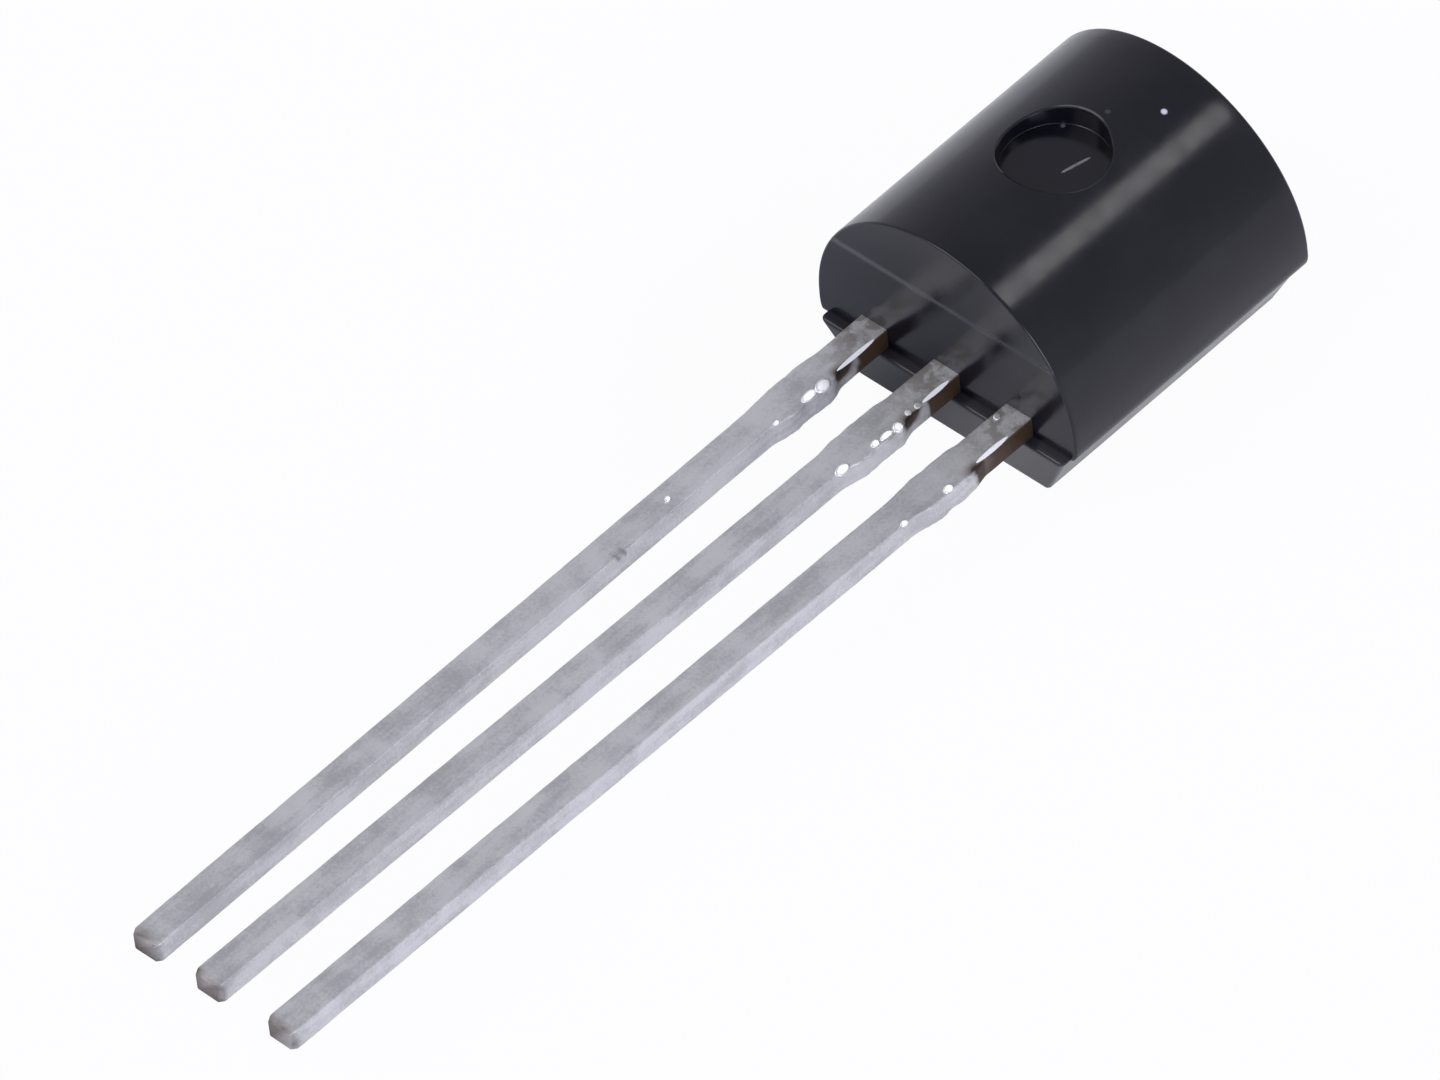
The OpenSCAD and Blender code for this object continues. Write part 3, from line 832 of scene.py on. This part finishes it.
witness_rings = []
for k in range(WITNESS_STATIONS + 1):
    share = k / WITNESS_STATIONS
    middle = WITNESS_FROM.lerp(WITNESS_TO, share)
    swell = WITNESS_END_SHARE + (1 - WITNESS_END_SHARE) * math.sin(math.pi * share) ** 0.5
    ring = []
    for step in range(WITNESS_SIDES):
        turn = math.tau * step / WITNESS_SIDES
        across = WITNESS_WIDTH / 2 * swell * math.cos(turn)
        ring.append((*(middle + WITNESS_ACROSS * across),
                     BODY_DEPTH - EJECTOR_DEPTH + WITNESS_HEIGHT * swell * math.sin(turn)))
    witness_rings.append(ring)
witness = loft("pin_witness", witness_rings)
witness.data.materials.append(pale_epoxy_painted_highlight())
witness.data.shade_smooth()
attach(witness, "root")

# ---- Floor ----
# A wide plain pale sheet under the part. It shows as white to the camera and in the metal, and it keeps
# a soft part of the shadow.

FLOOR_REACH = 450
FLOOR_Z = -0.002
FLOOR_TONE = 0.86
FLOOR_TONE_SPREAD = 0.01
FLOOR_WHITE = (0.99, 0.99, 1.0)
WHITE_SHARE = 0.97
WHITE_SHARE_IN_METAL = 0.45
FLOOR_BLUE = 1.10
PAINTED_SHADOW_PLACE = (-2.5, -2.5, 0.0)
PAINTED_SHADOW_CORE = 1.3
PAINTED_SHADOW_REACH = 3.6
PAINTED_SHADOW_DEPTH = 0.26


def pale_sheet():
    """Matt paint that the camera and the metal see as nearly white, with a painted shadow greyer in a pool
    by the lead end.
    """
    material, tree, shader, place = new_material("pale_sheet")
    # Painted shadow: the paint is greyer in a pool by the lead end, and the metal sees less white there.
    off_painted_shadow = distance_between(tree, place, Vector(PAINTED_SHADOW_PLACE) * MM)
    painted_shadow = ramp_between(tree, off_painted_shadow, PAINTED_SHADOW_CORE * MM, PAINTED_SHADOW_REACH * MM, start=1.0, end=0.0)
    tone = slope_between(tree, noise_at(tree, place, scale=30), low=0.0, high=1.0,
                         start=FLOOR_TONE - FLOOR_TONE_SPREAD, end=FLOOR_TONE + FLOOR_TONE_SPREAD)
    tone = minus(tree, tone, times(tree, painted_shadow, PAINTED_SHADOW_DEPTH))
    paint = add(tree, "ShaderNodeCombineColor", None,
                {"Red": tone, "Green": tone, "Blue": times(tree, tone, FLOOR_BLUE)}).outputs[0]
    tree.links.new(paint, shader.inputs["Base Color"])
    shader.inputs["Roughness"].default_value = 0.9
    shader.inputs["Specular IOR Level"].default_value = 0.0
    glow = add(tree, "ShaderNodeEmission", None, {"Color": (*FLOOR_WHITE, 1), "Strength": 1.0})
    ray = add(tree, "ShaderNodeLightPath").outputs
    seen = times(tree, plus(tree, ray["Is Camera Ray"], ray["Is Transmission Ray"]), WHITE_SHARE)
    in_metal = times(tree, minus(tree, 1.0, painted_shadow), WHITE_SHARE_IN_METAL)
    white = plus(tree, seen, times(tree, ray["Is Glossy Ray"], in_metal))
    mixed = add(tree, "ShaderNodeMixShader", None, {0: white, 1: shader.outputs[0], 2: glow.outputs[0]})
    tree.links.new(mixed.outputs[0], tree.nodes["Material Output"].inputs["Surface"])
    return material


floor = mesh_object("floor", [(x * FLOOR_REACH, y * FLOOR_REACH, FLOOR_Z)
                              for x, y in ((-1, -1), (1, -1), (1, 1), (-1, 1))], [(0, 1, 2, 3)])
floor.data.materials.append(pale_sheet())

# ---- Light ----
# A pale, slightly blue room, a large soft key from the front left, a small round lamp behind on the right
# whose reflection runs along the round side as a thin stripe, and a low fill on the leads' right sides.

ROOM_LOW = 0.68
ROOM_HIGH = 0.44
ROOM_TOP = 0.9
ROOM_TINT = (0.94, 0.95, 1.07)
LAMP_DISTANCE = 300
KEY_TOWARDS = (-0.30, -0.60, 0.75)
KEY_SIZE = 220
KEY_POWER = 0.40
STRIPE_TOWARDS = (0.35, 0.46, 0.82)
STRIPE_SIZE = 74
STRIPE_POWER = 0.046
FILL_TOWARDS = (0.85, -0.35, 0.40)
FILL_SIZE = 140
FILL_POWER = 0.38
WHITE_LIGHT = (1.0, 1.0, 1.0)
FILL_COLOUR = (0.90, 0.94, 1.12)

world = bpy.data.worlds.new("pale_room")
world.use_nodes = True
scene.world = world
tree = world.node_tree
direction = add(tree, "ShaderNodeTexCoord").outputs["Generated"]
height = add(tree, "ShaderNodeSeparateXYZ", None, {"Vector": direction}).outputs["Z"]
room = slope_between(tree, height, low=0.0, high=ROOM_TOP, start=ROOM_LOW, end=ROOM_HIGH)
ray = add(tree, "ShaderNodeLightPath").outputs
seen = plus(tree, ray["Is Camera Ray"], ray["Is Transmission Ray"])
strength = add(tree, "ShaderNodeMix", {"data_type": "FLOAT"}, {"Factor": seen, 2: room, 3: 1.0}).outputs[0]
tree.links.new(strength, tree.nodes["Background"].inputs["Strength"])
tree.links.new(blend(tree, seen, ROOM_TINT, FLOOR_WHITE), tree.nodes["Background"].inputs["Color"])


def soft_lamp(name, towards, size, power, shape, colour):
    """An area lamp that faces the part from a direction."""
    lamp_data = bpy.data.lights.new(name, "AREA")
    lamp_data.shape = shape
    lamp_data.size = size * MM
    lamp_data.energy = power
    lamp_data.color = colour
    lamp = bpy.data.objects.new(name, lamp_data)
    aim = Vector(towards).normalized()
    turned = aim.to_track_quat("Z", "Y").to_matrix().to_4x4()
    lamp.matrix_world = Matrix.Translation(aim * LAMP_DISTANCE * MM) @ turned
    scene.collection.objects.link(lamp)


soft_lamp("key_softbox", KEY_TOWARDS, KEY_SIZE, KEY_POWER, "SQUARE", WHITE_LIGHT)
soft_lamp("stripe_lamp", STRIPE_TOWARDS, STRIPE_SIZE, STRIPE_POWER, "DISK", WHITE_LIGHT)
soft_lamp("side_fill", FILL_TOWARDS, FILL_SIZE, FILL_POWER, "SQUARE", FILL_COLOUR)
